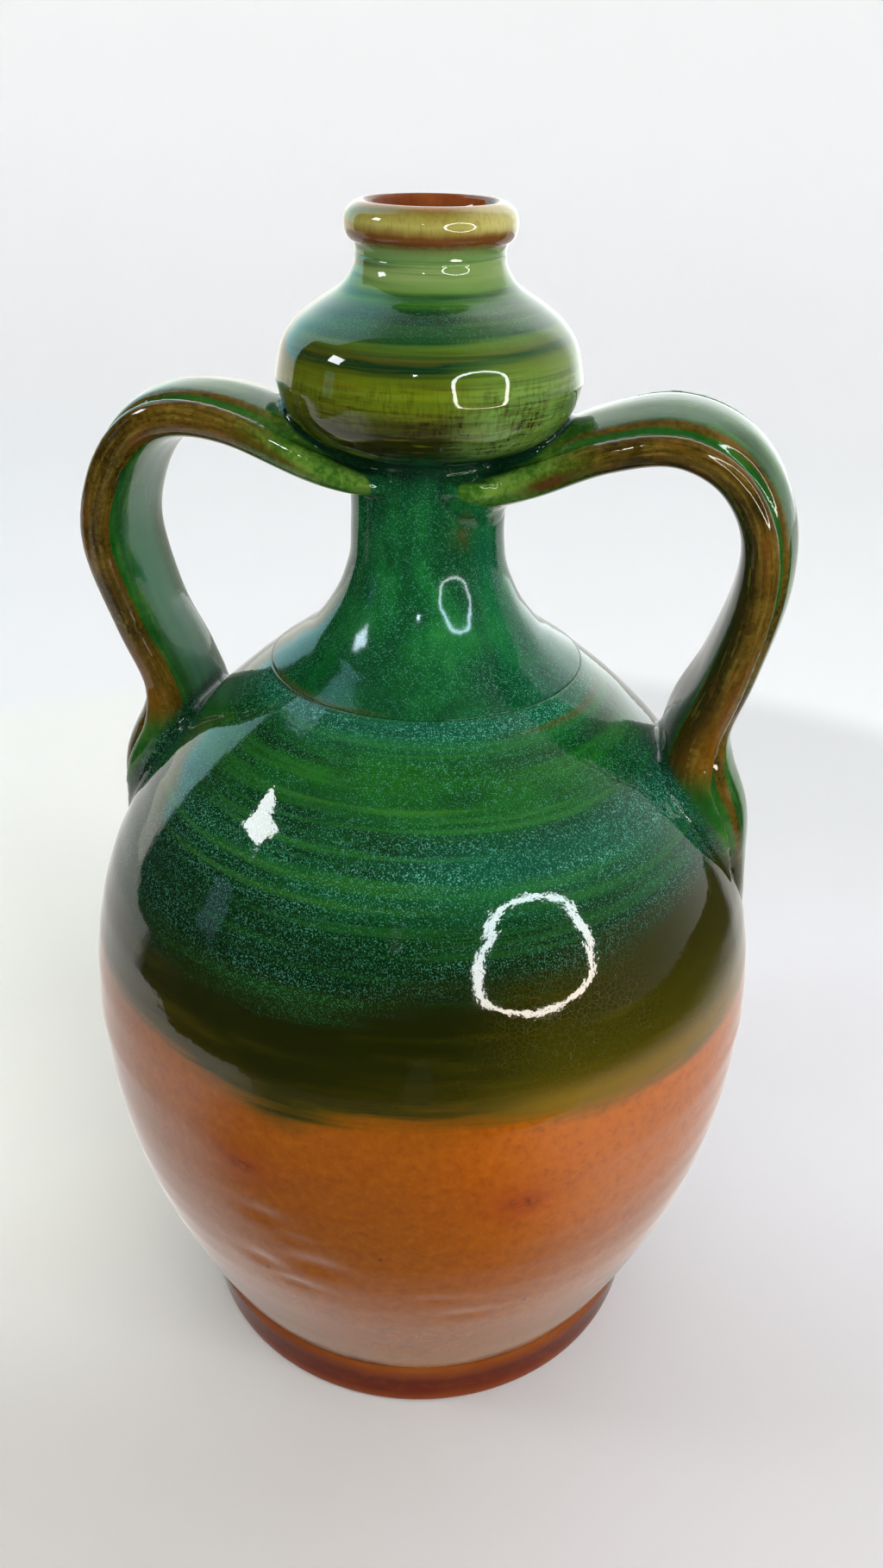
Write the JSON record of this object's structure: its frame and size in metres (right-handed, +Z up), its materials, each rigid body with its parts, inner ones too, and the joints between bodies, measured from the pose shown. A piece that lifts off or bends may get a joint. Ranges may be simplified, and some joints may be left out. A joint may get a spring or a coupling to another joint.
{
  "type": "two-handled jug",
  "caption": "Glazed earthenware jug with a gourd-shaped neck, a hollow belly, a narrow rolled mouth and a pulled strap handle on each side.",
  "frame": {"origin": "centre of the circle that the foot ring stands on, on the jug's axis, at z = 0", "axes": "+Z up along the jug's axis; the right handle lies towards +X and the left handle towards -X; -Y is the front"},
  "size_m": [0.164, 0.164, 0.28],
  "materials": {
    "foot_glaze": "glossy dark red-brown glaze",
    "body_glaze": "glossy mottled green glaze over a brown lower part",
    "neck_glaze": "glossy speckled blue-green glaze",
    "bulb_glaze": "glossy olive and green glaze in bands",
    "mouth_glaze": "glossy olive-tan glaze, thin on the rim",
    "handle_glaze": "glossy green glaze breaking to brown on the edges"
  },
  "bodies": {
    "root": {"foot_ring": "foot_glaze", "body": "body_glaze", "neck": "neck_glaze", "bulb": "bulb_glaze", "mouth_ring": "mouth_glaze", "right_handle": "handle_glaze", "left_handle": "handle_glaze"}
  },
  "joints": []
}
